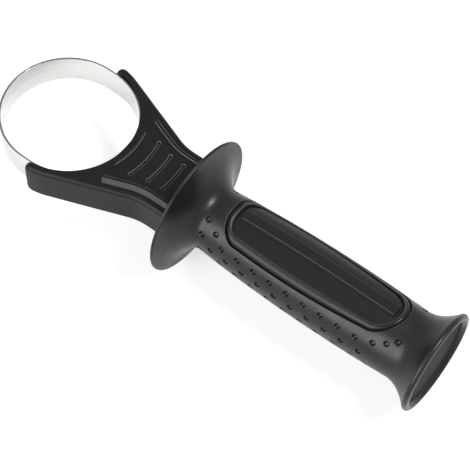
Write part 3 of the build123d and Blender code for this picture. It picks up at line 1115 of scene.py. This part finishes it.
@dataclass
class Band:
    """Rolled steel strip with rounded edges, lapped flat where the bolt passes.

    Args:
        radius: Inner radius of the ring.
        slack: Straight length between the ring's halves.
        lap_gap: Gap between the two tongues.
        seat_x: Where the inner tongue lies.
        joggle_height: Where the strip leaves the ring.
        joggle_flat: Half length of the flat tongue.
        joggle_lead: Straight length before the bend.
    """

    radius: float = 24.5
    thickness: float = 0.9
    width: float = 12.7
    slack: float = 3.2
    lap_gap: float = 0.05
    seat_x: float = 30.4
    joggle_height: float = 12.0
    joggle_flat: float = 8.3
    joggle_lead: float = 1.2
    bend_radius: float = 1.5
    edge_round: float = 0.22
    hole_radius: float = 4.25

    def tongue(self, seat_x: float) -> np.ndarray:
        """Path from the ring down to the tip of a tongue, on the side of +Y.

        Args:
            seat_x: Middle plane of the tongue.

        Returns:
            Points (x, y).
        """
        middle = self.radius + self.thickness / 2
        start = np.array((self.slack + math.sqrt(middle**2 - self.joggle_height**2), self.joggle_height))
        along = np.array((start[1], self.slack - start[0])) / middle
        corners = [start, start + self.joggle_lead * along, np.array((seat_x, self.joggle_flat)),
                   np.array((seat_x, self.bend_radius - self.joggle_flat))]
        path = [start]
        for before, corner, after in zip(corners, corners[1:], corners[2:]):
            back = (before - corner) / np.linalg.norm(before - corner)
            ahead = (after - corner) / np.linalg.norm(after - corner)
            half = math.acos(np.clip(np.dot(back, ahead), -1, 1)) / 2
            inward = (back + ahead) / np.linalg.norm(back + ahead)
            centre = corner + inward * self.bend_radius / math.sin(half)
            reach = self.bend_radius / math.tan(half)
            first, last = corner + reach * back - centre, corner + reach * ahead - centre
            for t in np.linspace(0, 1, 9):
                point = (1 - t) * first + t * last
                path.append(centre + point * self.bend_radius / np.linalg.norm(point))
        return np.array(path + [corners[-1]])

    def centreline(self) -> np.ndarray:
        """Path of the whole strip, against the clock.

        Returns:
            Points (x, y).
        """
        middle = self.radius + self.thickness / 2
        fall = math.degrees(math.asin(self.joggle_height / middle))
        inner = self.tongue(self.seat_x + self.thickness / 2)
        outer = self.tongue(self.seat_x + 1.5 * self.thickness + self.lap_gap) * [1, -1]
        return np.concatenate([
            inner[::-1],
            arc_points((self.slack, 0), middle, fall, 90, 40)[1:],
            arc_points((0, 0), middle, 90, 270, 120),
            arc_points((self.slack, 0), middle, 270, 360 - fall, 40)[:-1],
            outer,
        ])

    def build(self, material: bpy.types.Material) -> bpy.types.Object:
        """Builds the band.

        Args:
            material: Its finish.

        Returns:
            The band's object.
        """
        path = self.centreline()
        along = np.gradient(path, axis=0)
        along /= np.linalg.norm(along, axis=1)[:, None]
        outward = np.c_[along[:, 1], -along[:, 0]]
        half_t, half_w = self.thickness / 2 - self.edge_round, self.width / 2 - self.edge_round
        section = np.concatenate([
            arc_points((side_t * half_t, side_w * half_w), self.edge_round, start, start + 90, 5)
            for side_t, side_w, start in ((1, 1, 0), (-1, 1, 90), (-1, -1, 180), (1, -1, 270))])
        shell = Shell()
        shell.add([np.array([np.append(p + out * u, w) for u, w in section]) * MM
                   for p, out in zip(path, outward)])
        shell.close()
        piece = shell.piece("clamping_band_rolled", material, 35.0)
        drill = bmesh.new()
        where = Matrix.Translation((self.seat_x * MM, 0, 0)) @ Matrix.Rotation(math.pi / 2, 4, "Y")
        bmesh.ops.create_cone(drill, cap_ends=True, segments=48, radius1=self.hole_radius * MM,
                              radius2=self.hole_radius * MM, depth=8 * MM, matrix=where)
        cutter_mesh = bpy.data.meshes.new("bolt_hole")
        drill.to_mesh(cutter_mesh)
        drill.free()
        modifier = piece.modifiers.new("bolt_hole", "BOOLEAN")
        modifier.operation = "DIFFERENCE"
        modifier.solver = "EXACT"
        modifier.object = bpy.data.objects.new("bolt_hole", cutter_mesh)
        finish_modifiers(piece)
        smooth(piece.data, 35.0)
        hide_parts("clamping_band")
        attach(piece, "band_body")
        return piece


@dataclass
class Bolt:
    """M8 clamp bolt with a flat head and a rolled thread.

    Args:
        seat_x: Where the head bears on the band.
        head_height: Thickness of the head.
        radius: Outer radius of the thread.
        plain: Plain length under the head.
    """

    seat_x: float = 30.4
    head_height: float = 3.7
    head_span: float = 14.0
    head_width: float = 12.6
    length: float = 58.0
    radius: float = 3.95
    pitch: float = 1.25
    thread_depth: float = 0.68
    plain: float = 6.0
    head_chamfer: float = 0.6

    def shank(self) -> list:
        """Makes the threaded shank.

        Returns:
            Its rings.
        """
        around, per_turn = 36, 8
        rows = int((self.length - self.plain) / self.pitch * per_turn)
        x = np.r_[-0.2, self.plain, self.plain + 0.01 + np.arange(rows) * self.pitch / per_turn]
        angles = np.arange(around) * 2 * math.pi / around
        rings = []
        for place in x:
            along = place - self.plain
            phase = (along / self.pitch - angles / (2 * math.pi)) % 1.0
            groove = np.clip(1.25 * (1 - 2 * np.abs(phase - 0.5)) - 0.1, 0, 1) * self.thread_depth
            fade = np.clip(along / self.pitch, 0, 1) * np.ones(around)
            taper = max(0.0, place - (self.length - 1.0))
            r = np.minimum(self.radius - groove * fade, self.radius - taper)
            here = np.full(around, self.seat_x + place)
            rings.append(np.c_[here, r * np.cos(angles), r * np.sin(angles)] * MM)
        return rings

    def build(self, material: bpy.types.Material) -> bpy.types.Object:
        """Builds the bolt.

        Args:
            material: Its finish.

        Returns:
            The bolt's object.
        """
        shell = Shell()
        shell.add(self.shank())
        shell.close()
        piece = shell.piece("clamp_bolt_threaded", material, 35.0)
        work = bmesh.new()
        centre = Matrix.Translation((MM * (self.seat_x - self.head_height / 2), 0, 0))
        size = Matrix.Diagonal((MM * self.head_height, MM * self.head_span, MM * self.head_width, 1.0))
        bmesh.ops.create_cube(work, size=1.0, matrix=centre @ size)
        bmesh.ops.bevel(work, geom=list(work.edges), offset=self.head_chamfer * MM, offset_type="OFFSET",
                        segments=4, profile=0.5, affect="EDGES", clamp_overlap=True)
        work.from_mesh(piece.data)
        work.to_mesh(piece.data)
        work.free()
        smooth(piece.data, 35.0)
        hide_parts("clamp_bolt")
        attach(piece, "band_body")
        return piece


@dataclass
class Studio:
    """Plain floor, soft lamps and the camera at the photograph's angle.

    Args:
        near_floor: How far from the middle the floor shows its light and shadow.
        lamp_target: Point that the lamps face.
        camera_place: Place of the camera.
        camera_right: Direction of the picture's right side.
        camera_down: Direction of the picture's lower side.
        camera_forward: Direction in which the camera looks.
        lens: Focal length on a 36 mm sensor.
    """

    floor_z: float = -27.5 * MM
    near_floor: float = 0.30
    lamp_target: tuple = (0.085, 0.0, 0.0)
    camera_place: tuple = (0.25628, -0.26293, 0.52737)
    camera_right: tuple = (0.80106, 0.59793, 0.02803)
    camera_down: tuple = (0.52490, -0.67916, -0.51305)
    camera_forward: tuple = (-0.28773, 0.42570, -0.85790)
    lens: float = 130.2

    def build(self) -> None:
        """Makes the floor, the lamps, the world and the camera."""
        self.make_floor()
        self.make_world()
        self.make_camera()
        self.lamp("low_front", round_degrees=-105.0, up_degrees=24.0, distance=1.8, size=1.45, power=53.0)
        self.lamp("high_foot", round_degrees=22.0, up_degrees=60.0, distance=2.0, size=0.66, power=46.0)

    def make_floor(self) -> None:
        """Makes the pale floor. Camera and glossy rays see it white, apart from the shadow."""
        size = 3.0
        mesh = bpy.data.meshes.new("floor")
        corners = [(-size, -size, self.floor_z), (size, -size, self.floor_z),
                   (size, size, self.floor_z), (-size, size, self.floor_z)]
        mesh.from_pydata(corners, [], [(0, 1, 2, 3)])
        floor = add_object("floor", mesh)
        material = bpy.data.materials.new("floor_white")
        material.use_nodes = True
        tree = material.node_tree
        shader = tree.nodes["Principled BSDF"]
        shader.inputs["Base Color"].default_value = (0.50, 0.50, 0.50, 1.0)
        shader.inputs["Roughness"].default_value = 1.0
        shader.inputs["Specular IOR Level"].default_value = 0.0
        seen = self.seen_ray(tree)
        glow = add_node(tree, "ShaderNodeEmission", {"Color": (1, 1, 1, 1), "Strength": 0.60})
        both = add_node(tree, "ShaderNodeAddShader", {0: shader.outputs[0], 1: glow.outputs[0]})
        place = add_node(tree, "ShaderNodeTexCoord").outputs["Object"]
        reach = add_node(tree, "ShaderNodeVectorMath", {0: place}, operation="LENGTH")
        far = add_node(tree, "ShaderNodeMapRange", {
            "Value": reach.outputs["Value"], "From Min": self.near_floor, "From Max": 2 * self.near_floor})
        white = add_node(tree, "ShaderNodeEmission", {"Color": (1, 1, 1, 1), "Strength": 1.0})
        shown = add_node(tree, "ShaderNodeMixShader", {
            0: far.outputs[0], 1: both.outputs[0], 2: white.outputs[0]})
        choice = add_node(tree, "ShaderNodeMixShader", {
            0: seen, 1: shader.outputs[0], 2: shown.outputs[0]})
        tree.links.new(choice.outputs[0], tree.nodes["Material Output"].inputs["Surface"])
        mesh.materials.append(material)

    def seen_ray(self, tree: bpy.types.NodeTree) -> bpy.types.NodeSocket:
        """Tells camera rays, reflections and rays through glass from light that spreads.

        Args:
            tree: Tree that gets the nodes.

        Returns:
            Socket that is 1 for the rays that show the background.
        """
        path = add_node(tree, "ShaderNodeLightPath").outputs
        mirrored = add_node(tree, "ShaderNodeMath", {
            0: path["Is Camera Ray"], 1: path["Is Glossy Ray"]}, operation="MAXIMUM")
        return add_node(tree, "ShaderNodeMath", {
            0: mirrored.outputs[0], 1: path["Is Transmission Ray"]}, operation="MAXIMUM").outputs[0]

    def make_world(self) -> None:
        """Makes the soft, even light of a white room."""
        world = bpy.data.worlds.new("studio")
        world.use_nodes = True
        tree = world.node_tree
        level = add_node(tree, "ShaderNodeMapRange", {
            "Value": self.seen_ray(tree), "To Min": 0.20, "To Max": 1.0})
        ground = tree.nodes["Background"]
        ground.inputs["Color"].default_value = (1, 1, 1, 1)
        tree.links.new(level.outputs[0], ground.inputs["Strength"])
        bpy.context.scene.world = world

    def lamp(self, name: str, round_degrees: float, up_degrees: float, distance: float,
             size: float, power: float) -> None:
        """Adds one soft area lamp.

        Args:
            name: Name of the lamp.
            round_degrees: Direction of the lamp about +Z, from +X.
            up_degrees: Height of the lamp above the horizon.
            distance: Distance from the target.
            size: Side of the lamp.
            power: Power in watts.
        """
        data = bpy.data.lights.new(name, "AREA")
        data.shape = "SQUARE"
        data.size = size
        data.energy = power
        lamp = add_object(name, data)
        turn, up = math.radians(round_degrees), math.radians(up_degrees)
        away = Vector((math.cos(turn) * math.cos(up), math.sin(turn) * math.cos(up), math.sin(up)))
        lamp.location = Vector(self.lamp_target) + distance * away
        lamp.rotation_euler = (-away).to_track_quat("-Z", "Y").to_euler()

    def make_camera(self) -> None:
        """Sets the camera where the photograph was taken from."""
        data = bpy.data.cameras.new("photo_view")
        data.sensor_width = 36.0
        data.lens = self.lens
        data.clip_start = 0.01
        camera = add_object("photo_view", data)
        right, down = Vector(self.camera_right), Vector(self.camera_down)
        forward = Vector(self.camera_forward)
        turn = Matrix((right, -down, -forward)).transposed()
        camera.matrix_world = Matrix.Translation(self.camera_place) @ turn.to_4x4()
        bpy.context.scene.camera = camera


def main() -> None:
    """Builds the whole scene."""
    logging.basicConfig(level=logging.INFO, format="%(message)s")
    bpy.context.scene.view_settings.view_transform = "Standard"
    finishes = {f.slot: make_material(f) for f in (
        YOKE_FINISH, CORE_FINISH, SLEEVE_FINISH, BAND_FINISH, BOLT_FINISH)}
    nut_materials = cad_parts["nut_insert"].data.materials
    nut_materials.clear()
    nut_materials.append(finishes["bolt_steel"])
    form = GripForm()
    slots = {
        Yoke().build(finishes["yoke_plastic"]): "yoke_plastic",
        Band().build(finishes["band_steel"]): "band_steel",
        Bolt().build(finishes["bolt_steel"]): "bolt_steel",
        Core(form).build(finishes["core_plastic"]): "core_plastic",
        Sleeve(form).build(finishes["sleeve_rubber"]): "sleeve_rubber",
    }
    for piece, slot in slots.items():
        LOG.info("%s: %d faces", piece.name, len(piece.data.polygons))
    Studio().build()


if __name__ == "__main__":
    main()
